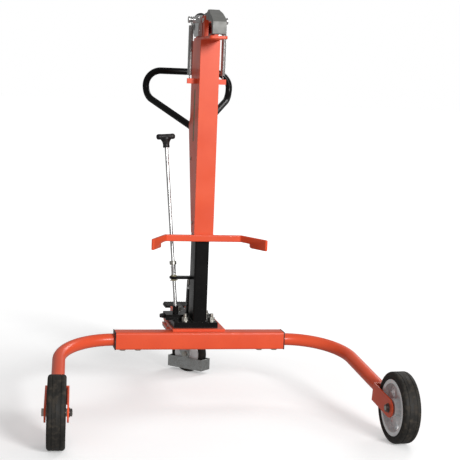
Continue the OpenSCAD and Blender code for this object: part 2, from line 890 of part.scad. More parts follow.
// Pivot pin of the beak, and the bolt on which its arm rests.
module head_pins() {
    color("silver") framed() {
        translate([0, pivot[0], pivot[1]]) {
            cross_cylinder([-38.5, 38.5], pivot_d);
            both_sides() cross_cylinder([side_out + 0.5, 40], 24);
        }
        translate([0, stop_at[0], stop_at[1]]) {
            cross_cylinder([-cheek_out, cheek_out], bolt_d);
            cross_cylinder([-cheek_in, cheek_in], stop_d);
            both_sides() cross_cylinder([cheek_out, cheek_out + 5], 15);
        }
    }
}

// ---- gripping jaw ----

module beak_arm_outline() {
    difference() {
        union() {
            translate(pivot) circle(20);
            polygon([[-45, 1192], [-45, 1172.2], [14, 1172.2], [24, 1148], [86, 1136], [112, 1134],
                [116, 1162], [100, 1170], [62, 1190], [20, 1192]]);
        }
        translate(pivot) circle(d = pivot_d + 2 * fit);
        translate(spring_pin_at) circle(d = spring_pin_d);
    }
}

module beak() {
    color("gray") framed() {
        side_slab([-8, 8]) beak_arm_outline();
        intersection() {
            side_slab([-20.5, 20.5]) polygon([[-34, 1196], [-55, 1196], [-132, 1170], [-150, 1157],
                [-150, 1121], [-136, 1119], [-130, 1146], [-112, 1158], [-34, 1166]]);
            translate([0, -30, 0]) rotate([90, 0, 0]) linear_extrude(130)
                polygon([[-20.5, 1100], [-20.5, 1184], [-15, 1197], [15, 1197], [20.5, 1184], [20.5, 1100]]);
        }
    }
}

module jaw_side_plates() {
    top = 1182;
    front = 15;
    color("silver") framed() both_sides() side_slab([side_in, side_out]) difference() {
        union() {
            translate(pivot) circle(20);
            polygon([[front, 1118], [front, top - 8], [front + 8, top], [66, top], [112, 1166], [108, 1132],
                [86, 1118]]);
            translate([front + 8, top - 8]) circle(8);
        }
        translate(pivot) circle(d = pivot_d + 2 * fit);
        translate(spring_pin_at) circle(d = spring_pin_d);
    }
}

module spring_pin() {
    color("silver") framed() translate([0, spring_pin_at[0], spring_pin_at[1]]) difference() {
        cross_cylinder([-62, 62], spring_pin_d);
        both_sides() translate([spring_x, 0, 0]) difference() {
            cross_cylinder([-4, 4], spring_pin_d + 2);
            cross_cylinder([-5, 5], spring_pin_d - 5);
        }
    }
}

module pull_ring() {
    ring_y = 176;
    ring_r = 19;
    color("black") framed() difference() {
        union() {
            translate([0, ring_y, 1174]) rotate([90, 0, 0])
                rotate_extrude() translate([ring_r, 0]) circle(d = 8);
            rod_between([0, 100, 1152], [0, ring_y, 1152], 10);
        }
        side_slab([-9, 9]) beak_arm_outline();
        side_slab([-9, 9]) translate(pivot) circle(d = pivot_d + 2);
    }
}

module jaw_springs() {
    top = spring_pin_at[1] - 14;
    foot = ear_z + 26;
    color("silver") framed() both_sides() {
        translate([spring_x, spring_pin_at[0], foot]) cylinder(d = 14, h = top - foot);
    }
}

crossbeam();
rear_frame();
mount_plate();
left_leg();
right_leg();
leg_bushes();
frame_bolts();
left_fork();
right_fork();
front_axles();
axle_nuts();
wheel_spacers();
base_plate();
plate_studs();
column();
handle_stem();
push_handle();
lift_cylinder();
cylinder_gland();
pump_block();
pump_barrel();
rod_guide();
guide_bush();
pedal_bracket();
pedal_pin();
castor_plate();
castor_kingpin();
left_hub();
left_tyre();
left_bearings();
right_hub();
right_tyre();
right_bearings();
castor_fork();
castor_axle();
castor_hub();
castor_tyre();
wheel_guard();
mast_channel();
nose_plate();
head_cheeks();
belly_bar();
guide_pads();
guide_screws();
lift_ram();
head_pins();
beak();
jaw_side_plates();
spring_pin();
pull_ring();
jaw_springs();
pedal_lever();
pedal_pad();
pump_plunger();
plunger_spring();
release_rod();
release_knob();
rod_collar();
release_spring();
valve_knob();
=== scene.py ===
import json
import math

import bmesh
import bpy
from mathutils import Matrix, Vector


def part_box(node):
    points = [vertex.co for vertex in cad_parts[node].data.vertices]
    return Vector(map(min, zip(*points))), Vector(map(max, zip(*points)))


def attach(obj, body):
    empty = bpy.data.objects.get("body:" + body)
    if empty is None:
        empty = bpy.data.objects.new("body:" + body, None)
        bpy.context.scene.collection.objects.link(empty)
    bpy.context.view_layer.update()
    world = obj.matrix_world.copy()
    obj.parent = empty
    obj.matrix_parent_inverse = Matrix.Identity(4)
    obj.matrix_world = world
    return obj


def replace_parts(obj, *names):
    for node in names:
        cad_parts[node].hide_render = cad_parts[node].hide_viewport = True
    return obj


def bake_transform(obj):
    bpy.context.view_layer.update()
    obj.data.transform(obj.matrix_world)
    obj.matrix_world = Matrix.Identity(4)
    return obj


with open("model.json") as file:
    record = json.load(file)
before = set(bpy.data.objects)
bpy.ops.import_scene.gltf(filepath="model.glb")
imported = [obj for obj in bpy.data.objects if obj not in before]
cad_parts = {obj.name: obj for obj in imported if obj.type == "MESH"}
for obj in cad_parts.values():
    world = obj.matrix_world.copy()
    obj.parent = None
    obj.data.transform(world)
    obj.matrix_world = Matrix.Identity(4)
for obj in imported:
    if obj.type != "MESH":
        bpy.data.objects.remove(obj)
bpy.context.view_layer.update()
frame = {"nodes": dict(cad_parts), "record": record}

NODES = frame["nodes"]
BODY_OF = {node: body for body, names in frame["record"]["behaviour"]["bodies"].items() for node in names}
SLOT_OF = {part["node"]: part["material_slot"] for part in frame["record"]["subparts"]}
JOINTS = {joint["name"]: joint for joint in frame["record"]["behaviour"]["joints"]}
UP = Vector((0, 0, 1))

# ---- materials ----


class Graph:
    """A material's node tree, with short calls for the nodes used here."""

    def __init__(self, name, roughness, metallic=0.0, **sockets):
        self.material = bpy.data.materials.new(name)
        self.material.use_nodes = True
        self.tree = self.material.node_tree
        self.shader = self.tree.nodes["Principled BSDF"]
        self.shader.inputs["Roughness"].default_value = roughness
        self.shader.inputs["Metallic"].default_value = metallic
        for socket, value in sockets.items():
            self.shader.inputs[socket.replace("_", " ")].default_value = value
        self.place = self.add("ShaderNodeTexCoord").outputs["Object"]

    def add(self, kind, **values):
        node = self.tree.nodes.new(kind)
        for name, value in values.items():
            setattr(node, name, value)
        return node

    def link(self, source, target):
        self.tree.links.new(source, target)

    def stretched(self, scale):
        node = self.add("ShaderNodeMapping")
        node.inputs["Scale"].default_value = scale
        self.link(self.place, node.inputs["Vector"])
        return node.outputs["Vector"]

    def noise(self, scale, detail=3, place=None):
        node = self.add("ShaderNodeTexNoise")
        node.inputs["Scale"].default_value = scale
        node.inputs["Detail"].default_value = detail
        self.link(place or self.place, node.inputs["Vector"])
        return node.outputs["Fac"]

    def span(self, value, low, high, to_low=0.0, to_high=1.0):
        node = self.add("ShaderNodeMapRange")
        ends = {"From Min": low, "From Max": high, "To Min": to_low, "To Max": to_high}
        for name, number in ends.items():
            node.inputs[name].default_value = number
        self.link(value, node.inputs["Value"])
        return node.outputs["Result"]

    def maths(self, operation, a, b):
        node = self.add("ShaderNodeMath", operation=operation)
        for socket, value in zip(node.inputs, (a, b)):
            if isinstance(value, (int, float)):
                socket.default_value = value
            else:
                self.link(value, socket)
        return node.outputs["Value"]

    def mix(self, factor, a, b):
        node = self.add("ShaderNodeMix", data_type="RGBA")
        self.link(factor, node.inputs["Factor"])
        for socket, value in ((node.inputs["A"], a), (node.inputs["B"], b)):
            if isinstance(value, tuple):
                socket.default_value = (*value, 1)
            else:
                self.link(value, socket)
        return node.outputs["Result"]

    def edges(self, low, high):
        """How far a point lies on an outward edge, from 0 to 1."""
        return self.span(self.add("ShaderNodeNewGeometry").outputs["Pointiness"], low, high)

    def top_faces(self, low=0.6, high=0.95):
        """1 on faces that look up, where dust settles."""
        split = self.add("ShaderNodeSeparateXYZ")
        self.link(self.add("ShaderNodeNewGeometry").outputs["Normal"], split.inputs[0])
        return self.span(split.outputs["Z"], low, high)

    def bump(self, height, strength, distance, onto=None):
        node = self.add("ShaderNodeBump")
        node.inputs["Strength"].default_value = strength
        node.inputs["Distance"].default_value = distance
        self.link(height, node.inputs["Height"])
        if onto is not None:
            self.link(onto, node.inputs["Normal"])
        return node.outputs["Normal"]

    def finish(self, color, roughness, normal):
        self.link(color, self.shader.inputs["Base Color"])
        self.link(roughness, self.shader.inputs["Roughness"])
        self.link(normal, self.shader.inputs["Normal"])
        return self.material


def paint(name, body, deep, bare, dust, roughness, coat, specular, wear):
    """Sprayed enamel: orange peel, soft changes of colour, wear on the edges and dust on top."""
    g = Graph(name, roughness, Coat_Weight=coat, Coat_Roughness=0.12, Specular_IOR_Level=specular)
    cloud = g.span(g.noise(9, 4), 0.35, 0.65)
    color = g.mix(cloud, deep, body)
    worn = g.maths("MULTIPLY", g.edges(0.53, 0.6), g.span(g.noise(210, 5), 0.6, 0.68, 0.0, wear))
    color = g.mix(worn, color, bare)
    settled = g.maths("MULTIPLY", g.top_faces(), g.span(g.noise(38, 5), 0.4, 0.9, 0.0, 0.12))
    color = g.mix(settled, color, dust)
    rough = g.maths("ADD", g.span(g.noise(24, 4), 0.3, 0.7, roughness - 0.03, roughness + 0.06),
                    g.maths("MULTIPLY", g.maths("ADD", worn, settled), 0.3))
    peel = g.bump(g.noise(420, 2), 0.05, 0.0003)
    return g.finish(color, rough, g.bump(g.maths("MULTIPLY", worn, -1.0), 0.5, 0.0003, peel))


def metal(name, light, dark, roughness, grain, spots=0.0, bump=0.12):
    """Worked metal with a grain along its length, and faint stains."""
    g = Graph(name, roughness, 1.0)
    streak = g.noise(260, 3, g.stretched(grain))
    stain = g.span(g.noise(70, 5), 0.42, 0.72)
    color = g.mix(g.span(streak, 0.3, 0.7), dark, light)
    color = g.mix(g.maths("MULTIPLY", stain, spots), color, (0.23, 0.19, 0.13))
    rough = g.maths("ADD", g.span(streak, 0.2, 0.8, roughness - 0.06, roughness + 0.08),
                    g.maths("MULTIPLY", stain, 0.12))
    return g.finish(color, rough, g.bump(streak, bump, 0.0002))


def cast_metal(name, light, dark, roughness, metallic=1.0):
    """Sand-cast or forged metal: grainy skin, with a painted highlight on its outward edges that leaves its
    hollows darker.
    """
    g = Graph(name, roughness, metallic)
    grain = g.noise(900, 4)
    cloud = g.span(g.noise(45, 4), 0.3, 0.7)
    color = g.mix(cloud, dark, light)
    # painted highlight: the outward edges are lightened in colour
    color = g.mix(g.edges(0.5, 0.56), color, tuple(min(1, c * 1.25) for c in light))
    rough = g.span(cloud, 0.0, 1.0, roughness + 0.1, roughness - 0.06)
    return g.finish(color, rough, g.bump(grain, 0.3, 0.0003))


def moulded(name, light, dark, roughness, grain=1400, strength=0.25, dust=(0.35, 0.33, 0.3), dusting=0.2):
    """Moulded rubber or plastic with a fine grain and dust in its hollows."""
    g = Graph(name, roughness, Specular_IOR_Level=0.28)
    cloud = g.span(g.noise(30, 5), 0.3, 0.7)
    color = g.mix(cloud, dark, light)
    dusty = g.maths("MULTIPLY", g.span(g.noise(85, 6), 0.48, 0.8), dusting)
    color = g.mix(dusty, color, dust)
    rough = g.maths("ADD", g.span(cloud, 0, 1, roughness - 0.06, roughness + 0.05), dusty)
    return g.finish(color, rough, g.bump(g.noise(grain, 3), strength, 0.0002))


ORANGE = paint("orange_enamel", (0.85, 0.106, 0.038), (0.79, 0.088, 0.031), (0.32, 0.06, 0.03),
               (0.72, 0.2, 0.11), 0.33, 0.1, 0.3, 0.22)
BLACK = paint("black_enamel", (0.0065, 0.006, 0.006), (0.004, 0.0038, 0.0038), (0.05, 0.046, 0.042),
              (0.02, 0.018, 0.016), 0.26, 0.05, 0.12, 0.15)
LOOKS = {
    "orange_paint": ORANGE,
    "black_paint": BLACK,
    "black_plastic": moulded("moulded_black", (0.016, 0.016, 0.017), (0.01, 0.01, 0.011), 0.42),
    "zinc": metal("zinc_plate", (0.6, 0.58, 0.52), (0.42, 0.41, 0.38), 0.33, (1, 1, 1), 0.35),
    "bright_steel": metal("bright_drawn_steel", (0.74, 0.74, 0.73), (0.62, 0.62, 0.62), 0.26,
                          (6, 6, 0.15), 0.1, 0.03),
    "jaw_steel": cast_metal("forged_jaw_steel", (0.195, 0.195, 0.185), (0.14, 0.14, 0.128), 0.5, 0.25),
    "aluminium": cast_metal("cast_aluminium", (0.88, 0.89, 0.89), (0.72, 0.73, 0.74), 0.36, 0.35),
    "tyre": moulded("tyre_rubber", (0.022, 0.020, 0.017), (0.013, 0.012, 0.0105), 0.62, 700, 0.3,
                    (0.13, 0.105, 0.08), 0.45),
    "rubber": moulded("pad_rubber", (0.03, 0.03, 0.03), (0.016, 0.016, 0.016), 0.7, 900, 0.35),
    "nylon": moulded("guide_nylon", (0.30, 0.27, 0.17), (0.21, 0.19, 0.12), 0.5, 600, 0.2,
                     (0.1, 0.09, 0.06), 0.35),
}
SPRING_STEEL = metal("spring_steel", (0.54, 0.54, 0.53), (0.38, 0.38, 0.375), 0.42, (1, 1, 1), 0.2)
GALVANISED = metal("galvanised_plate", (0.56, 0.57, 0.56), (0.36, 0.37, 0.37), 0.38, (1, 1, 1), 0.25, 0.2)

# ---- geometry ----


def smooth(mesh, degrees=34):
    mesh.shade_smooth()
    mesh.set_sharp_from_angle(angle=math.radians(degrees))


def piece(name, mesh, body, slot, material=None):
    """A finished mesh as a piece of the object."""
    obj = bpy.data.objects.new(name, mesh)
    bpy.context.scene.collection.objects.link(obj)
    mesh.materials.clear()
    mesh.materials.append(material or LOOKS[slot])
    if body:
        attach(obj, body)
    return obj


def mesh_of(name, verts, faces):
    mesh = bpy.data.meshes.new(name)
    mesh.from_pydata([tuple(v) for v in verts], [], faces)
    bm = bmesh.new()
    bm.from_mesh(mesh)
    bmesh.ops.recalc_face_normals(bm, faces=bm.faces)
    bm.to_mesh(mesh)
    bm.free()
    smooth(mesh)
    return mesh


def join(meshes):
    """Several meshes as one."""
    bm = bmesh.new()
    for mesh in meshes:
        bm.from_mesh(mesh)
    joined = bpy.data.meshes.new(meshes[0].name)
    bm.to_mesh(joined)
    bm.free()
    smooth(joined)
    return joined


def rounded(node, width, segments=3, material=None, angle=32):
    """A copy of a CAD node with its flat faces made whole and its edges rounded off."""
    mesh = NODES[node].data.copy()
    mesh.name = node + "_rounded"
    bm = bmesh.new()
    bm.from_mesh(mesh)
    bmesh.ops.remove_doubles(bm, verts=bm.verts, dist=2e-6)
    bmesh.ops.dissolve_limit(bm, angle_limit=math.radians(0.6), verts=bm.verts, edges=bm.edges)
    bm.to_mesh(mesh)
    bm.free()
    if "custom_normal" in mesh.attributes:
        mesh.attributes.remove(mesh.attributes["custom_normal"])
    smooth(mesh)
    obj = piece(node + "_rounded", mesh, None, SLOT_OF[node], material)
    bevel = obj.modifiers.new("round", "BEVEL")
    bevel.width = width
    bevel.segments = segments
    bevel.limit_method = "ANGLE"
    bevel.angle_limit = math.radians(angle)
    bevel.harden_normals = True
    bevel.miter_outer = "MITER_ARC"
    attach(obj, BODY_OF[node])
    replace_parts(obj, node)
    return obj


def turned(axis):
    """Two directions square to an axis."""
    side = axis.cross(UP if abs(axis.z) < 0.9 else Vector((1, 0, 0))).normalized()
    return side, axis.cross(side).normalized()


def lathe(name, centre, axis, profile, steps=96):
    """Profile points (distance along the axis, radius) spun round an axis; radius 0 closes an end."""
    side, other = turned(axis)
    verts, rings, faces = [], [], []
    for along, radius in profile:
        if radius == 0:
            rings.append([len(verts)])
            verts.append(centre + axis * along)
            continue
        rings.append(list(range(len(verts), len(verts) + steps)))
        for k in range(steps):
            a = 2 * math.pi * k / steps
            verts.append(centre + axis * along + radius * (math.cos(a) * side + math.sin(a) * other))
    for a, b in zip(rings, rings[1:]):
        for k in range(steps):
            m = (k + 1) % steps
            quad = [a[k % len(a)], a[m % len(a)], b[m % len(b)], b[k % len(b)]]
            faces.append(list(dict.fromkeys(quad)))
    return mesh_of(name, verts, faces)


def sweep(name, path, radius, sides=32, closed=False):
    """A round bar along a path. radius is a number or a function of the share of the path."""
    n = len(path)
    size = radius if callable(radius) else lambda share: radius
    verts, side = [], None
    for i, point in enumerate(path):
        ahead = path[(i + 1) % n] if closed else path[min(i + 1, n - 1)]
        behind = path[i - 1] if closed else path[max(i - 1, 0)]
        tangent = (ahead - behind).normalized()
        side = turned(tangent)[0] if side is None else (side - side.dot(tangent) * tangent).normalized()
        other = tangent.cross(side)
        for k in range(sides):
            a = 2 * math.pi * k / sides
            verts.append(point + size(i / (n - 1)) * (math.cos(a) * side + math.sin(a) * other))
    faces = []
    for i in range(n if closed else n - 1):
        for k in range(sides):
            m = (k + 1) % sides
            a, b = i * sides, (i + 1) % n * sides
            faces.append((a + k, a + m, b + m, b + k))
    if not closed:
        faces += [tuple(range(sides)), tuple((n - 1) * sides + k for k in range(sides))]
    return mesh_of(name, verts, faces)


def route(corners, radius, steps=20):
    """Straight runs joined by arcs of one radius."""
    points = [corners[0]]
    for before, corner, after in zip(corners, corners[1:], corners[2:]):
        u, v = (corner - before).normalized(), (after - corner).normalized()
        bend = u.angle(v)
        w = (v - v.dot(u) * u).normalized()
        centre = corner - u * radius * math.tan(bend / 2) + w * radius
        for k in range(steps + 1):
            a = bend * k / steps
            points.append(centre + radius * (math.sin(a) * u - math.cos(a) * w))
    return points + [corners[-1]]


def weld(name, corners, body, material, size=0.0028, closed=False):
    """A weld bead along a line, with its ripples."""
    path = []
    ends = corners[1:] + corners[:1] if closed else corners[1:]
    for a, b in zip(corners, ends):
        count = max(2, round((b - a).length / 0.0011))
        path += [a.lerp(b, k / count) for k in range(count)]
    path.append(corners[0] if closed else corners[-1])
    ripple = 2 * math.pi * len(path) / 5
    slot = "black_paint" if material is BLACK else "orange_paint"

    def radius(share):
        return size * (1 + 0.16 * math.sin(ripple * share) + 0.1 * math.sin(17 * share))

    return piece(name, sweep(name, path, radius, 8), body, slot, material)


def helix(foot, top, radius, turns, steps, side, other):
    """The points of a helix from foot to top, starting at side and turning towards other."""
    points = []
    for i in range(round(turns * steps) + 1):
        a = 2 * math.pi * i / steps
        middle = foot.lerp(top, i / (turns * steps))
        points.append(middle + radius * (math.cos(a) * side + math.sin(a) * other))
    return points


def coil(name, foot, top, radius, wire, turns, eyes=()):
    """A coil spring between two points. eyes are its end loops, below and above, as (centre, radius)."""
    axis = (top - foot).normalized()
    side, other = turned(axis)
    path = helix(foot, top, radius, turns, 20, side, other)
    for (centre, eye), way in zip(eyes, (-1, 1)):
        loop = [centre + eye * (math.cos(a) * side + math.sin(a) * axis * way)
                for a in (math.radians(-70 + 10 * k) for k in range(32))]
        loop.insert(0, path[0 if way < 0 else -1].lerp(loop[0], 0.5))
        path = loop[::-1] + path if way < 0 else path + loop
    return sweep(name, path, wire, 10)


def corner_tube(name, low, high, along, wall, corner):
    """A rectangular tube with round corners, open at both ends, along X, Y or Z."""
    across = [i for i in range(3) if i != along]
    steps = 8

    def outline(inset, r):
        points = []
        for cx, cy, start in ((1, 1, 0), (0, 1, 90), (0, 0, 180), (1, 0, 270)):
            x = (high if cx else low)[across[0]] + (-1 if cx else 1) * (inset + r)
            y = (high if cy else low)[across[1]] + (-1 if cy else 1) * (inset + r)
            for k in range(steps + 1):
                a = math.radians(start + 90 * k / steps)
                points.append((x + r * math.cos(a), y + r * math.sin(a)))
        return points

    lip = 0.0006
    rings = [(0, low[along] + lip), (0, high[along] - lip), (lip, high[along]), (wall, high[along]),
             (wall, low[along]), (lip, low[along])]
    verts, faces = [], []
    for inset, place in rings:
        for x, y in outline(inset, max(corner - inset, 0.001)):
            point = [0, 0, 0]
            point[across[0]], point[across[1]], point[along] = x, y, place
            verts.append(point)
    count = len(verts) // len(rings)
    for i in range(len(rings)):
        for k in range(count):
            m, j = (k + 1) % count, (i + 1) % len(rings)
            faces.append((i * count + k, i * count + m, j * count + m, j * count + k))
    return mesh_of(name, verts, faces)


def stand_in(name, mesh, *nodes, material=None):
    """A piece that rides and is finished as the CAD nodes that it replaces."""
    obj = piece(name, mesh, BODY_OF[nodes[0]], SLOT_OF[nodes[0]], material)
    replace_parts(obj, *nodes)
    return obj


# ---- frame: crossbeam, legs and forks ----

beam_low, beam_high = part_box("crossbeam")
beam_y = (beam_low.y + beam_high.y) / 2
beam_z = (beam_low.z + beam_high.z) / 2
TUBE_CORNER = 0.006
TUBE_WALL = 0.004
beam_tube = corner_tube("crossbeam_tube", beam_low, beam_high, 0, TUBE_WALL, TUBE_CORNER)
stand_in("crossbeam_tube", beam_tube, "crossbeam")

LEG_R = 0.019
LEG_BEND = 0.18
LEG_INSERT = 0.09
CROWN_FAR = 0.120
for name, sign in (("left", -1), ("right", 1)):
    hub = Vector(JOINTS[name + "_wheel_spin"]["pos_m"])
    axle = Vector(JOINTS[name + "_wheel_spin"]["axis"])
    reach = beam_y - hub.y
    corner = Vector((hub.x - reach * axle.y / axle.x, beam_y, beam_z))
    end = hub + (corner - hub).normalized() * CROWN_FAR
    start = Vector((sign * (beam_high.x - LEG_INSERT), beam_y, beam_z))
    path = route([start, corner, end], LEG_BEND, 40)
    stand_in(name + "_leg_tube", sweep(name + "_leg_tube", path, LEG_R, 56), name + "_leg")
    rounded(name + "_fork", 0.0011)
    aim = (end - corner).normalized()
    side, other = turned(aim)
    ring = [end - aim * 0.0008 + (LEG_R + 0.0005) * (math.cos(a) * side + math.sin(a) * other)
            for a in (2 * math.pi * k / 40 for k in range(40))]
    weld(name + "_fork_weld", ring, "root", ORANGE, 0.0027, True)

for node, width in (("leg_bushes", 0.0014), ("rear_frame", 0.0012), ("mount_plate", 0.0013),
                    ("base_plate", 0.0013)):
    rounded(node, width)
rounded("frame_bolts", 0.0006, 2)
rounded("front_axles", 0.0006, 2)
rounded("axle_nuts", 0.0006, 2, metal("dark_nut", (0.2, 0.19, 0.18), (0.1, 0.1, 0.1), 0.34, (1, 1, 1), 0.4))
rounded("plate_studs", 0.0005, 2)


def thread(name, foot, top, radius, pitch):
    """The raised helix of an upright screw thread."""
    path = helix(foot, top, radius, (top.z - foot.z) / pitch, 24, Vector((1, 0, 0)), Vector((0, 1, 0)))
    return sweep(name, path, pitch * 0.3, 6)


stud_low, stud_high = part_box("plate_studs")
plate_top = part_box("base_plate")[1].z
STUD_R = 0.006
STUD_PITCH = 0.00175
WASHER_R = 0.012
NUT_TOP = 0.0125
THREAD_DEPTH = 0.0003
threads = []
for x in (stud_low.x + WASHER_R, stud_high.x - WASHER_R):
    for y in (stud_low.y + WASHER_R, stud_high.y - WASHER_R):
        foot = Vector((x, y, plate_top + NUT_TOP))
        top = Vector((x, y, stud_high.z - 0.0012))
        threads.append(thread("stud_thread", foot, top, STUD_R - THREAD_DEPTH, STUD_PITCH))
piece("stud_threads", join(threads), "root", "zinc")
rounded("wheel_spacers", 0.0005, 2)

# ---- front wheels ----


def tyre_profile(width, radius, rim, shoulder, grooves, ridge):
    """Half outlines (along the axle, radius) of a solid tyre, from the left rim round to the right rim."""
    half = width / 2
    bead = [(-half + 0.0045, rim), (-half + 0.0012, rim + 0.0008), (-half + 0.0004, rim + 0.003),
            (-half + 0.0016, rim + 0.0052), (-half + 0.0016, rim + 0.0068), (-half, rim + 0.0082)]
    corner = [(-half + shoulder * (1 - math.cos(a)), radius - shoulder * (1 - math.sin(a)))
              for a in (math.pi / 2 * k / 10 for k in range(11))]
    tread = []
    for place, wide, deep in grooves:
        floor_half = wide * 0.55
        tread += [(place - wide, radius), (place - floor_half, radius - deep),
                  (place + floor_half, radius - deep), (place + wide, radius)]
    left = bead + corner
    middle = sorted(tread + [(-ridge, radius - 0.0002), (0, radius), (ridge, radius - 0.0002)])
    right = [(-x, r) for x, r in reversed(left)]
    return left + middle + right + [left[0]]


WHEEL_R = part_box("right_tyre")[1].z / 2
WHEEL_W = 0.050
RIM_R = 0.079
GROOVES = [(place, 0.0011, 0.0012) for place in (-0.0115, 0.0115)]
for name in ("left", "right"):
    hub = Vector(JOINTS[name + "_wheel_spin"]["pos_m"])
    axle = Vector(JOINTS[name + "_wheel_spin"]["axis"])
    profile = tyre_profile(WHEEL_W, WHEEL_R, RIM_R, 0.009, GROOVES, 0.0006)
    stand_in(name + "_tyre_tread", lathe(name + "_tyre_tread", hub, axle, profile, 144), name + "_tyre")
    rounded(name + "_hub", 0.0016, 3)
    rounded(name + "_bearings", 0.0005, 2)

# ---- column, pump and handle ----

column_low, column_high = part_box("column")
column_tube = corner_tube("column_tube", column_low, column_high, 2, TUBE_WALL, TUBE_CORNER)
stand_in("column_tube", column_tube, "column")
for node, width in (("handle_stem", 0.002), ("lift_cylinder", 0.0008), ("cylinder_gland", 0.0006),
                    ("pump_block", 0.0025), ("pump_barrel", 0.001), ("rod_guide", 0.0012),
                    ("guide_bush", 0.0006), ("pedal_bracket", 0.001), ("pedal_pin", 0.0006),
                    ("pump_plunger", 0.0008), ("rod_collar", 0.0012), ("valve_knob", 0.0012),
                    ("release_rod", 0.0008), ("lift_ram", 0.0008), ("pedal_lever", 0.0014)):
    rounded(node, width)
column_foot = [Vector((x, y, plate_top + 0.0008)) for x, y in (
    (column_low.x, column_low.y), (column_high.x, column_low.y),
    (column_high.x, column_high.y), (column_low.x, column_high.y))]
weld("column_weld", column_foot, "root", BLACK, 0.0026, True)

stem_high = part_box("handle_stem")[1]
grip_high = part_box("push_handle")[1]
HANDLE_R = 0.011
HANDLE_BEND = 0.050
grip_y = grip_high.y - HANDLE_R
half = grip_high.x - HANDLE_R
grip_z = grip_high.z - HANDLE_R
HANDLE_ROOT = Vector((0.012, stem_high.y - 0.0151, stem_high.z - 0.0171))
shoulder_z = grip_z - 0.083
right_side = [HANDLE_ROOT, Vector((half, grip_y, shoulder_z)), Vector((half, grip_y, grip_z))]
corners = right_side + [Vector((-p.x, p.y, p.z)) for p in reversed(right_side)]
handle_tube = sweep("push_handle_tube", route(corners, HANDLE_BEND, 28), HANDLE_R, 40)
stand_in("push_handle_tube", handle_tube, "push_handle")

release_down = Vector(JOINTS["release_push"]["axis"]).normalized()
rod_up = -release_down
rod_low = Vector(JOINTS["release_push"]["pos_m"])
ROD_LEN = 0.510
knob_foot = rod_low + rod_up * (ROD_LEN - 0.006)


def t_knob(foot, up):
    """A moulded T handle: a flared neck under two round wings, fused into one skin."""
    neck = [(0, 0), (0, 0.0102), (0.002, 0.0108), (0.010, 0.0102), (0.018, 0.0118), (0.026, 0.0165),
            (0.032, 0.0165), (0.034, 0)]
    parts = [lathe("knob_neck", foot, up, neck, 48)]
    wing = Vector((1, 0, 0))
    wing = (wing - wing.dot(up) * up).normalized()
    for side in (-1, 1):
        middle = foot + up * 0.0345 + wing * side * 0.020
        lobe = [(-0.0085, 0), (-0.0085, 0.005), (-0.0066, 0.0083), (-0.002, 0.0101), (0.003, 0.0101),
                (0.0072, 0.008), (0.0088, 0.0045), (0.0088, 0)]
        parts.append(lathe("knob_lobe", middle, up, lobe, 40))
    bar = [foot + up * 0.0345 + wing * x for x in (-0.020, -0.007, 0.007, 0.020)]
    parts.append(sweep("knob_bar", bar, 0.0086, 24))
    obj = piece("release_knob_moulding", join(parts), "release", "black_plastic")
    skin = obj.modifiers.new("fuse", "REMESH")
    skin.mode = "VOXEL"
    skin.voxel_size = 0.0008
    skin.use_smooth_shade = True
    soft = obj.modifiers.new("soften", "SMOOTH")
    soft.factor = 0.5
    soft.iterations = 8
    return obj


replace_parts(t_knob(knob_foot, rod_up), "release_knob")


def spring(name, node, foot, top, radius, wire, turns):
    mesh = coil(name, foot, top, radius, wire, turns)
    obj = piece(name, mesh, None, SLOT_OF[node])
    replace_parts(obj, node)
    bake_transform(obj)
    return obj


plunger_low, plunger_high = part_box("plunger_spring")
plunger_x = (plunger_low.x + plunger_high.x) / 2
plunger_y = (plunger_low.y + plunger_high.y) / 2
PUMP_WIRE = 0.0022
PUMP_COIL_R = 0.0165
PUMP_TURNS = 6.5
foot, top = (Vector((plunger_x, plunger_y, z))
             for z in (plunger_low.z + PUMP_WIRE, plunger_high.z - PUMP_WIRE))
spring("plunger_coil", "plunger_spring", foot, top, PUMP_COIL_R, PUMP_WIRE, PUMP_TURNS)
RELEASE_COIL = (0.1042, 0.1338)
RELEASE_COIL_R = 0.0078
RELEASE_WIRE = 0.0011
RELEASE_TURNS = 8
foot, top = (rod_low + rod_up * along for along in RELEASE_COIL)
spring("release_coil", "release_spring", foot, top, RELEASE_COIL_R, RELEASE_WIRE, RELEASE_TURNS)

# ---- pedal ----

rounded("pedal_pad", 0.0015)
pad_low, pad_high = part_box("pedal_pad")
RIBS = 9
rib_gap = (pad_high.x - pad_low.x) / (RIBS + 1)
RIB_R = 0.0013
RIB_INSET = 0.004
ribs = []
for k in range(RIBS):
    x = pad_low.x + rib_gap * (k + 1)
    ends = [Vector((x, y, pad_high.z)) for y in (pad_low.y + RIB_INSET, pad_high.y - RIB_INSET)]
    ribs.append(sweep("pad_rib", ends, RIB_R, 10))
piece("pedal_pad_ribs", join(ribs), "pedal", "rubber")

# ---- castor ----

for node, width in (("castor_plate", 0.001), ("castor_kingpin", 0.0006), ("castor_axle", 0.0006),
                    ("castor_hub", 0.0015), ("castor_fork", 0.001), ("wheel_guard", 0.0009)):
    rounded(node, width, 3, GALVANISED if node in ("castor_plate", "castor_fork", "wheel_guard") else None)
castor_at = Vector(JOINTS["castor_wheel_spin"]["pos_m"])
castor_axis = Vector(JOINTS["castor_wheel_spin"]["axis"])
CASTOR_W = 0.032
CASTOR_RUBBER = 0.014
profile = tyre_profile(CASTOR_W, castor_at.z, castor_at.z - CASTOR_RUBBER, 0.006, [], 0.0006)
stand_in("castor_tread", lathe("castor_tread", castor_at, castor_axis, profile, 112), "castor_tyre")

# ---- mast and head ----

for node, width in (("mast_channel", 0.0019), ("nose_plate", 0.0016), ("head_cheeks", 0.0022),
                    ("belly_bar", 0.0032), ("guide_pads", 0.0008), ("guide_screws", 0.0004),
                    ("head_pins", 0.0012)):
    rounded(node, width, 4)

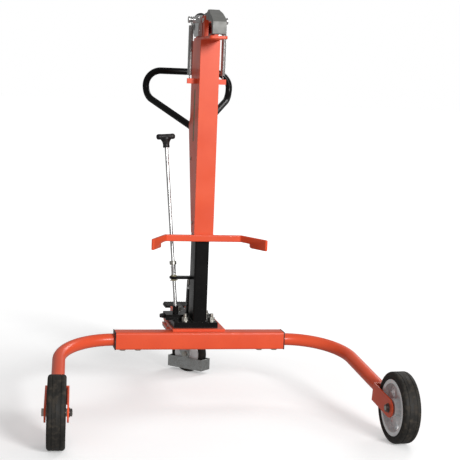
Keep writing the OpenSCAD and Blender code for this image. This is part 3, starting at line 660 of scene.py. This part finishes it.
mast_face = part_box("mast_channel")[0].y
belly_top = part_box("belly_bar")[1].z
nose_low, nose_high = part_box("nose_plate")
cheek_low, cheek_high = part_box("head_cheeks")
MAST_HALF = 0.030
NOSE_HALF = 0.027
BEAD_SINK = 0.0006
belly_ends = [Vector((x, mast_face - BEAD_SINK, belly_top + 0.0004)) for x in (-MAST_HALF, MAST_HALF)]
weld("belly_weld", belly_ends, "mast", ORANGE, 0.0024)
nose_ends = [Vector((x, mast_face - BEAD_SINK, nose_low.z - BEAD_SINK)) for x in (-NOSE_HALF, NOSE_HALF)]
weld("nose_weld", nose_ends, "mast", ORANGE, 0.0022)
for name, sign in (("left", -1), ("right", 1)):
    ends = [Vector((sign * cheek_high.x, y, nose_high.z + 0.0004))
            for y in (cheek_low.y + 0.002, cheek_high.y - 0.002)]
    weld(name + "_cheek_weld", ends, "mast", ORANGE, 0.0022)

# ---- jaw ----

for node, width in (("beak", 0.0030), ("jaw_side_plates", 0.0018), ("spring_pin", 0.0012),
                    ("pull_ring", 0.0006)):
    rounded(node, width, 4)
spring_low, spring_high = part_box("jaw_springs")
jaw_pin_low, jaw_pin_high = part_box("spring_pin")
pin_mid = (jaw_pin_low + jaw_pin_high) / 2
SPRING_R = 0.0061
SPRING_WIRE = 0.0014
SPRING_NECK = 0.0075
SPRING_EYE = 0.0042
coils = []
for side in (-1, 1):
    x = side * (spring_high.x - 0.007)
    foot, top = (Vector((x, pin_mid.y, z)) for z in (spring_low.z + SPRING_WIRE, spring_high.z - 0.003))
    eyes = [(foot - UP * (SPRING_EYE + 2 * SPRING_WIRE), SPRING_EYE),
            (Vector((x, pin_mid.y, pin_mid.z)), SPRING_NECK + SPRING_WIRE)]
    turns = (top - foot).length / (2.1 * SPRING_WIRE)
    coils.append(coil("jaw_coil", foot, top, SPRING_R, SPRING_WIRE, turns, eyes))
jaw_coils = piece("jaw_coils", join(coils), None, SLOT_OF["jaw_springs"], SPRING_STEEL)
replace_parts(jaw_coils, "jaw_springs")
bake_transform(jaw_coils)

# ---- stage: floor, light and camera ----


FLOOR = 60
floor_mesh = bpy.data.meshes.new("floor")
floor_mesh.from_pydata([(-FLOOR, -FLOOR, 0), (FLOOR, -FLOOR, 0), (FLOOR, FLOOR, 0), (-FLOOR, FLOOR, 0)],
                       [], [(0, 1, 2, 3)])
floor = bpy.data.objects.new("floor", floor_mesh)
bpy.context.scene.collection.objects.link(floor)
g = Graph("studio_floor", 0.9, Specular_IOR_Level=0.1, Emission_Color=(1, 1, 1, 1))
distance = g.add("ShaderNodeVectorMath", operation="LENGTH")
g.link(g.place, distance.inputs[0])
# The floor brightens away from the object, so that it meets the white background without a line.
g.link(g.span(distance.outputs["Value"], 0.7, 3.2, 0.3, 0.75), g.shader.inputs["Emission Strength"])
tint = g.mix(g.span(g.noise(3, 3), 0.3, 0.7), (0.9, 0.9, 0.9), (0.93, 0.93, 0.93))
rough = g.span(g.noise(5, 2), 0.3, 0.7, 0.85, 0.95)
floor_mesh.materials.append(g.finish(tint, rough, g.bump(g.noise(90, 2), 0.02, 0.001)))
floor.visible_diffuse = False
floor.visible_glossy = False


def area(name, place, target, size, power):
    light = bpy.data.lights.new(name, "AREA")
    light.shape = "DISK"
    light.size = size
    light.energy = power
    obj = bpy.data.objects.new(name, light)
    obj.location = place
    obj.rotation_euler = (Vector(target) - Vector(place)).to_track_quat("-Z", "Y").to_euler()
    bpy.context.scene.collection.objects.link(obj)


CAMERA_AT = Vector((-0.6893, -3.7145, 0.9728))
CAMERA_YAW, CAMERA_PITCH, CAMERA_ROLL = (math.radians(a) for a in (11.57, -6.59, 2.19))
FOCAL = 97.87
SENSOR = 36
MIDDLE = (0, 0, 0.6)
area("key", (2.0, -6.2, 2.6), MIDDLE, 1.8, 375)
area("rim", (2.4, 2.4, 2.6), MIDDLE, 1.6, 45)

world = bpy.data.worlds.new("studio")
bpy.context.scene.world = world
world.use_nodes = True
SKY_LIGHT = 0.33
SKY_SEEN = 1.0
seen = world.node_tree.nodes.new("ShaderNodeLightPath")
strength = world.node_tree.nodes.new("ShaderNodeMapRange")
strength.inputs["To Min"].default_value = SKY_LIGHT
strength.inputs["To Max"].default_value = SKY_SEEN
background = world.node_tree.nodes["Background"]
background.inputs["Color"].default_value = (1, 1, 1, 1)
world.node_tree.links.new(seen.outputs["Is Camera Ray"], strength.inputs["Value"])
world.node_tree.links.new(strength.outputs["Result"], background.inputs["Strength"])
bpy.context.scene.view_settings.view_transform = "Standard"

camera = bpy.data.objects.new("camera", bpy.data.cameras.new("camera"))
camera.data.lens = FOCAL
camera.data.sensor_width = SENSOR
level = Vector((math.sin(CAMERA_YAW), math.cos(CAMERA_YAW), 0))
ahead = math.cos(CAMERA_PITCH) * level + math.sin(CAMERA_PITCH) * UP
right = Vector((math.cos(CAMERA_YAW), -math.sin(CAMERA_YAW), 0))
above = right.cross(ahead)
across = math.cos(CAMERA_ROLL) * right + math.sin(CAMERA_ROLL) * above
upward = math.cos(CAMERA_ROLL) * above - math.sin(CAMERA_ROLL) * right
turn = Matrix((across, upward, -ahead)).transposed().to_4x4()
camera.matrix_world = Matrix.Translation(CAMERA_AT) @ turn
bpy.context.scene.collection.objects.link(camera)
bpy.context.scene.camera = camera
